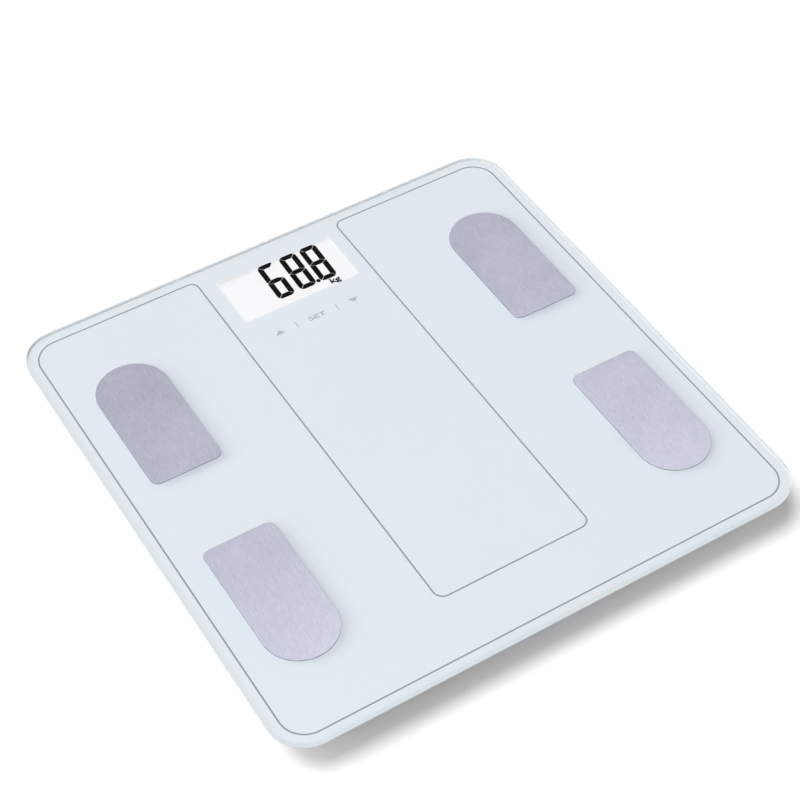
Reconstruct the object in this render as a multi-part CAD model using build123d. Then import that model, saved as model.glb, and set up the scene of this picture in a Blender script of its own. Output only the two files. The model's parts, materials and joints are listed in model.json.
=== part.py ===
from build123d import *
import os
from math import atan2, cos, sqrt

# Bathroom scale: a square glass platform bonded to a moulded tray that stands on four load-cell feet.
# Millimetres. The origin is on the floor under the middle of the platform, +Z is up,
# +Y points to the display end and +X to the right of someone who faces the display.

# Glass platform
GLASS_SIZE = 300.0
GLASS_CORNER = 20.0
GLASS_THICK = 5.0
GLASS_EDGE = 1.0

# Printed film on the underside of the glass, with a clear window for the display
FILM_THICK = 0.2
FILM_INSET = 1.2
WINDOW_W = 71.2
WINDOW_D = 33.2
WINDOW_INSET = 32.6
WINDOW_CORNER = 2.0

# Foot electrodes: thin steel plates, round at the outer end, each on a stud through the glass
ELECTRODE_W = 40.2
ELECTRODE_L = 83.0
ELECTRODE_THICK = 0.6
ELECTRODE_CORNER = 4.5
ELECTRODE_EDGE = 0.2
ELECTRODE_SIDE_MARGIN = 20.1
ELECTRODE_BACK_MARGIN = 44.0
ELECTRODE_FRONT_MARGIN = 40.0
ELECTRODE_TAPE_THICK = 0.15
ELECTRODE_TAPE_INSET = 0.8
STUD_D = 3.0
STUD_CLEARANCE = 1.0
STUD_TAIL = 1.0
STUD_HEADROOM = 0.4
NUT_WIDTH = 5.5
NUT_HEIGHT = 2.4
NUT_CLEARANCE = 0.05
TERMINAL_D = 7.0
TERMINAL_THICK = 0.6
TERMINAL_TAIL = 7.0
TERMINAL_TAIL_W = 2.4
ELECTRODE_LEAD_D = 1.2
ELECTRODE_LEAD_BEND = 4.0
BACK_ELECTRODE_LEAD_INSET = 9.0
FRONT_ELECTRODE_LEAD_ASIDE = 12.0
FRONT_ELECTRODE_LEAD_INSET = 13.5
FRONT_ELECTRODE_LEAD_LAND = 3.0

# Moulded tray and the foam tape that bonds the glass to its flange
FLOOR_GAP = 4.0
TRAY_FLOOR = 2.2
TRAY_WALL = 2.0
TRAY_SLANT = 12.0
TRAY_SLANT_HEIGHT = 10.5
TRAY_BOTTOM_CORNER = 22.0
TRAY_CHINE = 5.0
TRAY_HEADROOM = 1.1
FLANGE_INSET = 3.5
FLANGE_REACH = 3.5
FLANGE_THICK = 2.0
TAPE_THICK = 0.8
TAPE_INSET = 0.4
RIB_THICK = 1.2
RIB_PITCH = 36.0

# Feet: a cup with a rubber pad below and a steel load cell inside, free to drop a little in its well
FOOT_MARGIN = 3.5
FOOT_DROP = 0.8
WELL_WALL = 2.2
WELL_CEILING = 2.0
CUP_CLEARANCE = 0.6
CUP_WALL = 1.95
CUP_EDGE = 1.2
CUP_FLOOR = 2.0
PAD_MARGIN = 3.7
PAD_THICK = 2.2
PAD_SEAT = 1.0
PAD_CLEARANCE = 0.1
PAD_EDGE = 0.7
PAD_GROOVE_W = 1.6
PAD_GROOVE_DEPTH = 0.5
PAD_GROOVES_D = (14.0, 25.0)
LUG_W = 8.0
LUG_HEIGHT = 1.4
LUG_REACH = 1.4
LUG_ROOT = 0.7
LUG_GAP = 0.1
LUG_CLEARANCE = 0.6
LUG_COUNT = 4
CELL_SIZE = 32.0
CELL_CORNER = 5.0
CELL_THICK = 2.6
CELL_CLEARANCE = 0.2
CELL_FRAME = 6.5
CELL_SLOT = 2.4
CELL_ARM = 3.0
CELL_RELIEF = 2.0
CELL_LEDGE = 3.0
RELIEF_CORNER = 3.5
LOAD_BUTTON_D = 10.0
LOAD_BUTTON_THICK = 2.0
SPIGOT_D = 5.6
SPIGOT_HOLE_CLEARANCE = 0.1
SPIGOT_LENGTH = 1.8
NUB_D = 12.0
NUB_H = 2.6
GAUGE_W = 9.0
GAUGE_D = 4.6
GAUGE_THICK = 0.5
GAUGE_CORNER = 0.5
GAUGE_MARGIN = 1.0
CELL_LEAD_D = 2.0
CELL_LEAD_BEND = 2.2
CELL_LEAD_TURN = 9.0
CELL_LEAD_INSET = 2.25
FRONT_CELL_LEAD_RIB_COUNT = 2
FRONT_CELL_LEAD_LAND = 21.0
LEAD_HOLE_CLEARANCE = 1.2

# Battery bay: three cells side by side, closed from below by a door with a snap latch
BATTERY_D = 10.5
BATTERY_L = 44.5
BATTERY_NUB_D = 3.8
BATTERY_NUB_L = 0.8
BATTERY_EDGE = 0.6
BATTERY_COUNT = 3
BATTERY_GAP = 0.4
BATTERY_FLOOR_GAP = 0.3
BATTERY_CEILING_GAP = 0.3
CONTACT_THICK = 0.3
CONTACT_W = 8.0
CONTACT_H = 8.6
CONTACT_CORNER = 0.3
SPRING_ROOM = 5.0
SPRING_W = 4.0
SPRING_MARGIN = 0.4
DIMPLE_D = 3.0
DIMPLE_H = 0.5
BAY_BOARD_GAP = 5.35
BAY_WALL = 2.0
BAY_CEILING = 1.2
DOOR_THICK = 1.6
DOOR_CORNER = 1.5
OPENING_CORNER = 0.6
DOOR_CLEARANCE = 0.4
DOOR_SEAT_GAP = 0.1
DOOR_LEDGE = 1.2
DOOR_FRAME = 2.5
DOOR_FRAME_THICK = 2.0
TONGUE_X = 15.0
TONGUE_W = 7.0
TONGUE_THICK = 0.9
TONGUE_REACH = 2.0
TONGUE_LEG = 1.2
TONGUE_CLEARANCE = 0.6
TONGUE_GAP = 0.3
TONGUE_SWING = 2.2
LATCH_W = 12.0
LATCH_THICK = 1.0
LATCH_SPAN = 3.8
LATCH_HEIGHT = 5.2
LATCH_NIB = 0.9
LATCH_NIB_H = 1.0
LATCH_GAP = 0.3
LATCH_CLEARANCE = 0.6
LATCH_SQUEEZE = 1.4
SCOOP_D = 18.0
SCOOP_DEPTH = 1.0

# Electronics under the display
LCD_SIDE_MARGIN = 3.0
LCD_END_MARGIN = 2.5
LCD_THICK = 2.0
LCD_CORNER = 0.2
LCD_LEDGE = 3.2
BACKLIGHT_THICK = 2.5
BACKLIGHT_INSET = 0.4
HOLDER_WALL = 1.0
HOLDER_CLEARANCE = 0.1
HOLDER_LEDGE = 0.5
HOLDER_LEDGE_W = 2.0
HOLDER_POST_LEAST = 0.8
HOLDER_POST_D = 4.0
HOLDER_POST_INSET = 5.0
HOLDER_POST_DROP = 9.0
STRIP_D = 2.0
STRIP_END = 3.0
BOARD_W = 96.0
BOARD_FRONT_MARGIN = 7.2
BOARD_BACK_MARGIN = 1.35
BOARD_THICK = 1.6
BOARD_CORNER = 2.0
BOARD_MARGIN = 3.0
BOSS_D = 7.0
BOSS_INSET = 4.5
BOSS_PILOT_DEPTH = 4.0
SCREW_D = 2.5
SCREW_HOLE_CLEARANCE = 0.25
SCREW_HEAD_D = 5.0
SCREW_HEAD_H = 1.8
SCREW_HEAD_EDGE = 0.6
SCREW_GRIP = 3.5
KEY_DROP = 32.4
KEY_PITCH = 23.1
TOUCH_PAD_W = 10.0
TOUCH_PAD_D = 6.0
TOUCH_PAD_CORNER = 1.5
CHIP_THICK = 1.4
CONTROLLER_SIZE = 12.0
CONTROLLER_X = -16.0
WEIGH_CHIP_W = 10.0
WEIGH_CHIP_D = 6.2
WEIGH_CHIP_X = 14.0
CHIP_EDGE = 0.3

# Unit selector: a push button in the underside under a tact switch on the board
UNIT_INSET = 18.0
UNIT_DROP = 4.6
UNIT_TRAVEL = 0.4
UNIT_D = 8.0
UNIT_CLEARANCE = 0.3
UNIT_RECESS = 0.4
UNIT_FLANGE = 1.4
UNIT_FLANGE_THICK = 1.0
UNIT_FLANGE_GAP = 0.1
UNIT_EDGE = 0.6
SWITCH_SIZE = 6.0
SWITCH_HEIGHT = 3.1
SWITCH_CORNER = 0.8
PLUNGER_D = 3.4
PLUNGER_CLEARANCE = 0.2
PLUNGER_REACH = 0.6
PLUNGER_INSIDE = 1.2

# Plan sizes that follow from the ones above
FLANGE_SIZE = GLASS_SIZE - 2 * FLANGE_INSET
FLANGE_CORNER = GLASS_CORNER - FLANGE_INSET
TRAY_TOP_SIZE = FLANGE_SIZE - 2 * FLANGE_REACH
TRAY_TOP_CORNER = FLANGE_CORNER - FLANGE_REACH
TRAY_BOTTOM_SIZE = TRAY_TOP_SIZE - 2 * TRAY_SLANT
TAPE_W = FLANGE_REACH + TRAY_WALL - 2 * TAPE_INSET
ELECTRODE_X = GLASS_SIZE / 2 - ELECTRODE_SIDE_MARGIN - ELECTRODE_W / 2
BACK_ELECTRODE_Y = GLASS_SIZE / 2 - ELECTRODE_BACK_MARGIN - ELECTRODE_L / 2
FRONT_ELECTRODE_Y = ELECTRODE_FRONT_MARGIN + ELECTRODE_L / 2 - GLASS_SIZE / 2
CELL_SEAT = CELL_SIZE + 2 * CELL_CLEARANCE
CELL_SEAT_CORNER = CELL_CORNER + CELL_CLEARANCE
CELL_REACH = CELL_SEAT / sqrt(2) - CELL_SEAT_CORNER * (sqrt(2) - 1)
CUP_D = 2 * (CELL_REACH + CUP_WALL)
PAD_D = CUP_D - 2 * PAD_MARGIN
WELL_D = CUP_D + 2 * CUP_CLEARANCE
FOOT_X = TRAY_BOTTOM_SIZE / 2 - FOOT_MARGIN - WELL_WALL - WELL_D / 2
FOOT_Y = FOOT_X
GAUGE_Y = CELL_SIZE / 2 - GAUGE_D / 2 - GAUGE_MARGIN
BAY_L = BATTERY_L + SPRING_ROOM + CONTACT_THICK + DIMPLE_H
BATTERY_PITCH = BATTERY_D + BATTERY_GAP
BAY_W = BATTERY_COUNT * BATTERY_PITCH + BATTERY_GAP
WINDOW_Y = GLASS_SIZE / 2 - WINDOW_INSET
KEY_Y = WINDOW_Y - KEY_DROP
LCD_W = WINDOW_W + 2 * LCD_SIDE_MARGIN
LCD_D = WINDOW_D + 2 * LCD_END_MARGIN
HOLDER_POST_X = LCD_W / 2 - HOLDER_POST_INSET
BOARD_FRONT = BACK_ELECTRODE_Y - BOARD_FRONT_MARGIN
BOARD_BACK = WINDOW_Y + LCD_D / 2 + HOLDER_CLEARANCE - HOLDER_POST_DROP + BOARD_BACK_MARGIN
BOARD_Y = (BOARD_FRONT + BOARD_BACK) / 2
BOARD_D = BOARD_BACK - BOARD_FRONT
UNIT_X = BOARD_W / 2 - UNIT_INSET
UNIT_Y = KEY_Y - UNIT_DROP
LATCH_ROOM = LATCH_SQUEEZE + LATCH_SPAN + DOOR_CLEARANCE
OPENING_L = BAY_L + 2 * DOOR_LEDGE
OPENING_BACK = BOARD_FRONT - BAY_BOARD_GAP - DOOR_FRAME
BAY_Y = OPENING_BACK - LATCH_ROOM - BAY_WALL - BAY_W / 2
OPENING_FRONT = BAY_Y - BAY_W / 2 - DOOR_LEDGE
DOOR_FRONT = OPENING_FRONT + DOOR_CLEARANCE
DOOR_BACK = OPENING_BACK - DOOR_CLEARANCE
DOOR_L = OPENING_L - 2 * DOOR_CLEARANCE
DOOR_NOSE = DOOR_THICK / 2

# Levels, from the floor up; the glass clears the tallest of what stands under it
TRAY_Z = FLOOR_GAP
FLOOR_TOP = TRAY_Z + TRAY_FLOOR
TRAY_SHOULDER_Z = TRAY_Z + TRAY_SLANT_HEIGHT
DOOR_SEAT_Z = TRAY_Z + DOOR_THICK + DOOR_SEAT_GAP
BATTERY_Z = TRAY_Z + DOOR_THICK + BATTERY_FLOOR_GAP + BATTERY_D / 2
BAY_CEILING_Z = BATTERY_Z + BATTERY_D / 2 + BATTERY_CEILING_GAP
BAY_TOP = BAY_CEILING_Z + BAY_CEILING
CUP_Z = PAD_THICK - PAD_SEAT
RELIEF_Z = PAD_THICK + CUP_FLOOR
CELL_Z = RELIEF_Z + CELL_RELIEF
CELL_TOP = CELL_Z + CELL_THICK
NUB_Z = CELL_TOP + LOAD_BUTTON_THICK
WELL_CEILING_Z = NUB_Z + NUB_H
WELL_TOP = WELL_CEILING_Z + WELL_CEILING
UNIT_TOP = FLOOR_TOP + UNIT_FLANGE_GAP + UNIT_FLANGE_THICK
SWITCH_Z = UNIT_TOP + PLUNGER_REACH
BOARD_Z = SWITCH_Z + SWITCH_HEIGHT
BOARD_TOP = BOARD_Z + BOARD_THICK
STUD_DROP = TERMINAL_THICK + NUT_HEIGHT + STUD_TAIL
DISPLAY_DROP = LCD_THICK + BACKLIGHT_THICK + HOLDER_LEDGE
FILM_Z = max(
    BAY_TOP + TRAY_HEADROOM + TAPE_THICK,
    WELL_TOP + STUD_HEADROOM + STUD_DROP,
    BOARD_TOP + HOLDER_POST_LEAST + DISPLAY_DROP,
)
RIM_Z = FILM_Z - TAPE_THICK
GLASS_Z = FILM_Z + FILM_THICK
GLASS_TOP = GLASS_Z + GLASS_THICK
ELECTRODE_Z = GLASS_TOP + ELECTRODE_TAPE_THICK
HOLDER_Z = FILM_Z - DISPLAY_DROP

CORNERS = {"back_left": (-1, 1), "back_right": (1, 1), "front_left": (-1, -1), "front_right": (1, -1)}


def slab(width, depth, corner, base, height):
    return Pos(0, 0, base) * extrude(RectangleRounded(width, depth, corner), height)


def disc(diameter, base, height):
    return Pos(0, 0, base) * extrude(Circle(diameter / 2), height)


def block(x0, x1, y0, y1, z0, z1):
    middle = Pos((x0 + x1) / 2, (y0 + y1) / 2, z0)
    return middle * extrude(Rectangle(x1 - x0, y1 - y0), z1 - z0)


def lead(points, diameter, bend):
    route = FilletPolyline(*points, radius=bend)
    return sweep(Plane(route @ 0, z_dir=route % 0) * Circle(diameter / 2), path=route)


def electrode_y(sy):
    return BACK_ELECTRODE_Y if sy > 0 else FRONT_ELECTRODE_Y


def stud_spots():
    return [(sx * ELECTRODE_X, electrode_y(sy)) for sx, sy in CORNERS.values()]


# Platform

def glass_platform():
    plate = slab(GLASS_SIZE, GLASS_SIZE, GLASS_CORNER, GLASS_Z, GLASS_THICK)
    rims = plate.faces().sort_by(Axis.Z)
    plate = fillet(rims[0].edges() + rims[-1].edges(), GLASS_EDGE)
    hole = disc(STUD_D + 2 * STUD_CLEARANCE, GLASS_Z, GLASS_THICK)
    return plate - [Pos(x, y, 0) * hole for x, y in stud_spots()]


def printed_film():
    size = GLASS_SIZE - 2 * FILM_INSET
    film = slab(size, size, GLASS_CORNER - FILM_INSET, FILM_Z, FILM_THICK)
    window = Pos(0, WINDOW_Y, 0) * slab(WINDOW_W, WINDOW_D, WINDOW_CORNER, FILM_Z, FILM_THICK)
    hole = disc(STUD_D + 2 * STUD_CLEARANCE, FILM_Z, FILM_THICK)
    return film - [window] - [Pos(x, y, 0) * hole for x, y in stud_spots()]


def bonding_tape():
    outer = FLANGE_SIZE - 2 * TAPE_INSET
    corner = FLANGE_CORNER - TAPE_INSET
    ring = slab(outer, outer, corner, RIM_Z, TAPE_THICK)
    return ring - slab(outer - 2 * TAPE_W, outer - 2 * TAPE_W, corner - TAPE_W, RIM_Z, TAPE_THICK)


# Electrodes, their studs and what is fastened to them

def electrode_outline(inset):
    width = ELECTRODE_W - 2 * inset
    length = ELECTRODE_L - 2 * inset
    straight = Pos(0, -width / 4) * Rectangle(width, length - width / 2)
    outline = straight + Pos(0, length / 2 - width / 2) * Circle(width / 2)
    return fillet(outline.vertices().group_by(Axis.Y)[0], ELECTRODE_CORNER - inset)


def at_electrode(shape, sx, sy):
    turn = 0 if sy > 0 else 180
    return Pos(sx * ELECTRODE_X, electrode_y(sy), 0) * Rot(0, 0, turn) * shape


def electrode():
    plate = Pos(0, 0, ELECTRODE_Z) * extrude(electrode_outline(0), ELECTRODE_THICK)
    plate = fillet(plate.faces().sort_by(Axis.Z)[-1].edges(), ELECTRODE_EDGE)
    tail = FILM_Z - STUD_DROP
    return plate + disc(STUD_D, tail, ELECTRODE_Z - tail)


def electrode_tape():
    tape = Pos(0, 0, GLASS_TOP) * extrude(electrode_outline(ELECTRODE_TAPE_INSET), ELECTRODE_TAPE_THICK)
    return tape - disc(STUD_D + 2 * STUD_CLEARANCE, GLASS_TOP, ELECTRODE_TAPE_THICK)


def electrode_terminal(sx):
    z = FILM_Z - TERMINAL_THICK
    tail = block(-TERMINAL_TAIL, 0, -TERMINAL_TAIL_W / 2, TERMINAL_TAIL_W / 2, z, FILM_Z)
    ring = disc(TERMINAL_D, z, TERMINAL_THICK) + tail
    ring = ring - disc(STUD_D + 2 * NUT_CLEARANCE, z, TERMINAL_THICK)
    return ring if sx > 0 else Rot(0, 0, 180) * ring


def electrode_nut():
    z = FILM_Z - TERMINAL_THICK - NUT_HEIGHT
    hexagon = RegularPolygon(NUT_WIDTH / 2, 6, major_radius=False)
    nut = Pos(0, 0, z) * extrude(hexagon, NUT_HEIGHT)
    return nut - disc(STUD_D + 2 * NUT_CLEARANCE, z, NUT_HEIGHT)


def electrode_lead(sx, sy):
    z = FILM_Z - ELECTRODE_LEAD_D / 2
    start = (sx * (ELECTRODE_X - TERMINAL_TAIL), electrode_y(sy), z)
    if sy > 0:
        end_x = sx * (BOARD_W / 2 - BACK_ELECTRODE_LEAD_INSET)
        points = [start, (end_x, BACK_ELECTRODE_Y, z), (end_x, BACK_ELECTRODE_Y, BOARD_TOP)]
        return lead(points, ELECTRODE_LEAD_D, ELECTRODE_LEAD_BEND)
    aside = sx * (BOARD_W / 2 + FRONT_ELECTRODE_LEAD_ASIDE)
    end_x = sx * (BOARD_W / 2 - FRONT_ELECTRODE_LEAD_INSET)
    end_y = BOARD_FRONT + FRONT_ELECTRODE_LEAD_LAND
    points = [start, (aside, FRONT_ELECTRODE_Y, z), (aside, end_y, z)]
    points += [(end_x, end_y, z), (end_x, end_y, BOARD_TOP)]
    return lead(points, ELECTRODE_LEAD_D, ELECTRODE_LEAD_BEND)


# Feet

def foot_pad():
    pad = disc(PAD_D, 0, PAD_THICK)
    pad = fillet(pad.faces().sort_by(Axis.Z)[0].edges(), PAD_EDGE)
    grooves = []
    for middle in PAD_GROOVES_D:
        ring = disc(middle + PAD_GROOVE_W, 0, PAD_GROOVE_DEPTH)
        grooves.append(ring - disc(middle - PAD_GROOVE_W, 0, PAD_GROOVE_DEPTH))
    return pad - grooves


def lug_turns():
    return [Rot(0, 0, 360 * (i + 0.5) / LUG_COUNT) for i in range(LUG_COUNT)]


def foot_cup():
    cup = disc(CUP_D, CUP_Z, CELL_TOP - CUP_Z)
    cup = fillet(cup.faces().sort_by(Axis.Z)[0].edges(), CUP_EDGE)
    relief = CELL_SIZE - 2 * CELL_LEDGE
    cup = cup - [
        disc(PAD_D + 2 * PAD_CLEARANCE, CUP_Z, PAD_SEAT),
        slab(CELL_SEAT, CELL_SEAT, CELL_SEAT_CORNER, CELL_Z, CELL_THICK),
        slab(relief, relief, RELIEF_CORNER, RELIEF_Z, CELL_RELIEF),
    ]
    rim = disc(CUP_D + 2 * LUG_REACH, CELL_TOP - LUG_HEIGHT, LUG_HEIGHT)
    rim = rim - disc(CUP_D - 2 * LUG_ROOT, CELL_TOP - LUG_HEIGHT, LUG_HEIGHT)
    sector = block(0, CUP_D, -LUG_W / 2, LUG_W / 2, CELL_TOP - LUG_HEIGHT, CELL_TOP)
    return cup + [rim & (turn * sector) for turn in lug_turns()]


def load_cell():
    tongue_w = CELL_SIZE - 2 * CELL_FRAME - 2 * CELL_SLOT
    tongue_l = CELL_SIZE / 2 - CELL_FRAME
    root = tongue_l - CELL_ARM
    plate = RectangleRounded(CELL_SIZE, CELL_SIZE, CELL_CORNER)
    opening_w = tongue_w + 2 * CELL_SLOT
    opening = Pos(0, (root - tongue_l) / 2) * Rectangle(opening_w, root + tongue_l)
    tongue = Pos(0, (root - tongue_l + CELL_SLOT) / 2) * Rectangle(tongue_w, root + tongue_l - CELL_SLOT)
    spigot_hole = Circle(SPIGOT_D / 2 + SPIGOT_HOLE_CLEARANCE)
    return Pos(0, 0, CELL_Z) * extrude(plate - (opening - tongue) - spigot_hole, CELL_THICK)


def strain_gauge():
    return Pos(0, GAUGE_Y, 0) * slab(GAUGE_W, GAUGE_D, GAUGE_CORNER, CELL_TOP, GAUGE_THICK)


def load_button():
    spigot = disc(SPIGOT_D, CELL_TOP - SPIGOT_LENGTH, SPIGOT_LENGTH)
    return disc(LOAD_BUTTON_D, CELL_TOP, LOAD_BUTTON_THICK) + spigot


def at_foot(shape, sx, sy):
    turn = 180 if sy > 0 else 0
    return Pos(sx * FOOT_X, sy * FOOT_Y, 0) * Rot(0, 0, turn) * shape


def load_cell_lead(sx, sy):
    x = sx * FOOT_X
    y = sy * (FOOT_Y - GAUGE_Y)
    z = WELL_TOP + CELL_LEAD_D / 2
    end_x = sx * (BOARD_W / 2 - CELL_LEAD_INSET)
    points = [(x, y, CELL_TOP + GAUGE_THICK), (x, y, z)]
    if sy > 0:
        points += [(end_x, y, z), (end_x, y, BOARD_TOP)]
        return lead(points, CELL_LEAD_D, CELL_LEAD_BEND)
    aside = sx * FRONT_CELL_LEAD_RIB_COUNT * RIB_PITCH
    end_y = BOARD_FRONT + FRONT_CELL_LEAD_LAND
    points += [(aside, y, z), (aside, end_y, z), (end_x, end_y, z), (end_x, end_y, BOARD_TOP)]
    bends = [CELL_LEAD_BEND, CELL_LEAD_TURN, CELL_LEAD_TURN, CELL_LEAD_BEND]
    return lead(points, CELL_LEAD_D, bends)


# Tray

def tub(bottom_z, bottom_size, bottom_corner, top_size, top_corner):
    slant = loft([
        Pos(0, 0, bottom_z) * RectangleRounded(bottom_size, bottom_size, bottom_corner),
        Pos(0, 0, TRAY_SHOULDER_Z) * RectangleRounded(top_size, top_size, top_corner),
    ], ruled=True)
    return slant + slab(top_size, top_size, top_corner, TRAY_SHOULDER_Z, RIM_Z - TRAY_SHOULDER_Z)


def tray_cavity():
    slant_wall = TRAY_WALL / cos(atan2(TRAY_SLANT, TRAY_SLANT_HEIGHT))
    share = TRAY_FLOOR / TRAY_SLANT_HEIGHT
    bottom_size = TRAY_BOTTOM_SIZE + 2 * TRAY_SLANT * share - 2 * slant_wall
    return tub(
        FLOOR_TOP, bottom_size, TRAY_BOTTOM_CORNER - TRAY_WALL,
        TRAY_TOP_SIZE - 2 * TRAY_WALL, TRAY_TOP_CORNER - TRAY_WALL,
    )


def tray_shell(cavity):
    outside = tub(TRAY_Z, TRAY_BOTTOM_SIZE, TRAY_BOTTOM_CORNER, TRAY_TOP_SIZE, TRAY_TOP_CORNER)
    outside = fillet(outside.faces().sort_by(Axis.Z)[0].edges(), TRAY_CHINE)
    flange = slab(FLANGE_SIZE, FLANGE_SIZE, FLANGE_CORNER, RIM_Z - FLANGE_THICK, FLANGE_THICK)
    return outside + flange - cavity


def tray_ribs(cavity):
    reach = TRAY_TOP_SIZE / 2
    lines = int(reach // RIB_PITCH)
    ribs = []
    for i in range(-lines, lines + 1):
        near = i * RIB_PITCH - RIB_THICK / 2
        far = i * RIB_PITCH + RIB_THICK / 2
        ribs.append(block(near, far, -reach, reach, FLOOR_TOP, WELL_TOP))
        ribs.append(block(-reach, reach, near, far, FLOOR_TOP, WELL_TOP))
    board_room = block(
        -BOARD_W / 2 - BOARD_MARGIN, BOARD_W / 2 + BOARD_MARGIN,
        BOARD_FRONT - BOARD_MARGIN, reach, FLOOR_TOP, WELL_TOP,
    )
    return (Part() + ribs) & (cavity - board_room)


def foot_well():
    return disc(WELL_D + 2 * WELL_WALL, TRAY_Z, WELL_TOP - TRAY_Z)


def foot_well_room():
    room = disc(WELL_D, TRAY_Z, WELL_CEILING_Z - TRAY_Z) - disc(NUB_D, NUB_Z, NUB_H)
    window = block(
        NUB_D / 2, WELL_D / 2 + 2 * WELL_WALL,
        -LUG_W / 2 - LUG_CLEARANCE, LUG_W / 2 + LUG_CLEARANCE,
        CELL_TOP - LUG_HEIGHT - FOOT_DROP - LUG_GAP, CELL_TOP + LUG_CLEARANCE,
    )
    lead_hole = disc(CELL_LEAD_D + 2 * LEAD_HOLE_CLEARANCE, WELL_CEILING_Z, WELL_CEILING)
    return [room, Pos(0, GAUGE_Y, 0) * lead_hole] + [turn * window for turn in lug_turns()]


def battery_bay():
    half = BAY_L / 2 + BAY_WALL
    walls = block(-half, half, BAY_Y - BAY_W / 2 - BAY_WALL, BAY_Y + BAY_W / 2 + BAY_WALL, TRAY_Z, BAY_TOP)
    edge = OPENING_L / 2 + DOOR_FRAME
    frame_top = DOOR_SEAT_Z + DOOR_FRAME_THICK
    frame = block(-edge, edge, OPENING_FRONT - DOOR_FRAME, OPENING_BACK + DOOR_FRAME, TRAY_Z, frame_top)
    hood_half = LATCH_W / 2 + LATCH_CLEARANCE + BAY_WALL
    hood_top = TRAY_Z + DOOR_THICK + LATCH_HEIGHT + LATCH_CLEARANCE + BAY_WALL
    hood = block(-hood_half, hood_half, BAY_Y, OPENING_BACK + DOOR_FRAME, TRAY_Z, hood_top)
    return [walls, frame, hood]


def battery_bay_room():
    half = BAY_L / 2
    cells = block(-half, half, BAY_Y - BAY_W / 2, BAY_Y + BAY_W / 2, TRAY_Z, BAY_CEILING_Z)
    middle = (OPENING_FRONT + OPENING_BACK) / 2
    depth = OPENING_BACK - OPENING_FRONT
    opening = slab(OPENING_L, depth, OPENING_CORNER, TRAY_Z, DOOR_SEAT_Z - TRAY_Z)
    latch_half = LATCH_W / 2 + LATCH_CLEARANCE
    latch_front = BAY_Y + BAY_W / 2 + BAY_WALL
    latch_top = TRAY_Z + DOOR_THICK + LATCH_HEIGHT + LATCH_CLEARANCE
    latch = block(-latch_half, latch_half, latch_front, OPENING_BACK, TRAY_Z, latch_top)
    nib_back = DOOR_BACK + LATCH_NIB + LATCH_CLEARANCE
    nib_room = block(-latch_half, latch_half, latch_front, nib_back, FLOOR_TOP, latch_top)
    scoop = Pos(0, OPENING_BACK, 0) * disc(SCOOP_D, TRAY_Z, SCOOP_DEPTH)
    rooms = [cells, Pos(0, middle, 0) * opening, latch, nib_room, scoop]
    tongue_half = TONGUE_W / 2 + TONGUE_CLEARANCE
    tongue_front = DOOR_FRONT - TONGUE_REACH - TONGUE_CLEARANCE
    inside = BAY_Y - BAY_W / 2
    swing_top = FLOOR_TOP + TONGUE_GAP + TONGUE_THICK + TONGUE_SWING
    for x in (-TONGUE_X, TONGUE_X):
        left = x - tongue_half
        right = x + tongue_half
        rooms.append(block(left, right, OPENING_FRONT, inside, DOOR_SEAT_Z, swing_top))
        rooms.append(block(left, right, tongue_front, inside, FLOOR_TOP, swing_top))
    return rooms


def boss_spots():
    x = BOARD_W / 2 - BOSS_INSET
    return [(sx * x, y) for sx in (-1, 1) for y in (BOARD_FRONT + BOSS_INSET, BOARD_BACK - BOSS_INSET)]


def base_tray():
    cavity = tray_cavity()
    wells = [Pos(sx * FOOT_X, sy * FOOT_Y, 0) * foot_well() for sx, sy in CORNERS.values()]
    bosses = [Pos(x, y, 0) * disc(BOSS_D, FLOOR_TOP, BOARD_Z - FLOOR_TOP) for x, y in boss_spots()]
    tray = tray_shell(cavity) + tray_ribs(cavity) + wells + battery_bay() + bosses
    rooms = []
    for sx, sy in CORNERS.values():
        rooms += [at_foot(room, sx, sy) for room in foot_well_room()]
    pilot = disc(SCREW_D, BOARD_Z - BOSS_PILOT_DEPTH, BOSS_PILOT_DEPTH)
    rooms += [Pos(x, y, 0) * pilot for x, y in boss_spots()]
    rooms += battery_bay_room()
    rooms.append(Pos(UNIT_X, UNIT_Y, 0) * disc(UNIT_D + 2 * UNIT_CLEARANCE, TRAY_Z, TRAY_FLOOR))
    return tray - rooms


# Battery door and cells

def battery_door():
    depth = DOOR_BACK - DOOR_FRONT
    side = Pos((depth + DOOR_NOSE) / 2, 0) * Rectangle(depth - DOOR_NOSE, DOOR_THICK)
    side = side + Pos(DOOR_NOSE, 0) * Circle(DOOR_NOSE)
    across = Plane((0, DOOR_FRONT, TRAY_Z + DOOR_NOSE), x_dir=(0, 1, 0), z_dir=(1, 0, 0))
    outline = Pos(0, DOOR_FRONT + depth / 2, 0) * slab(DOOR_L, depth, DOOR_CORNER, TRAY_Z, DOOR_THICK)
    plate = extrude(across * side, DOOR_L / 2, both=True) & outline
    notch_half = LATCH_W / 2 + LATCH_CLEARANCE
    notch_front = DOOR_BACK - LATCH_SPAN + LATCH_THICK
    door_top = TRAY_Z + DOOR_THICK
    plate = plate - block(-notch_half, notch_half, notch_front, DOOR_BACK, TRAY_Z, door_top)
    hook_z = FLOOR_TOP + TONGUE_GAP
    hook_top = hook_z + TONGUE_THICK
    leg_front = OPENING_FRONT + DOOR_LEDGE
    tongues = []
    for x in (-TONGUE_X, TONGUE_X):
        left = x - TONGUE_W / 2
        right = x + TONGUE_W / 2
        leg = block(left, right, leg_front, leg_front + TONGUE_LEG, door_top, hook_top)
        hook = block(left, right, DOOR_FRONT - TONGUE_REACH, leg_front, hook_z, hook_top)
        tongues += [leg, hook]
    return plate + tongues


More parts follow.
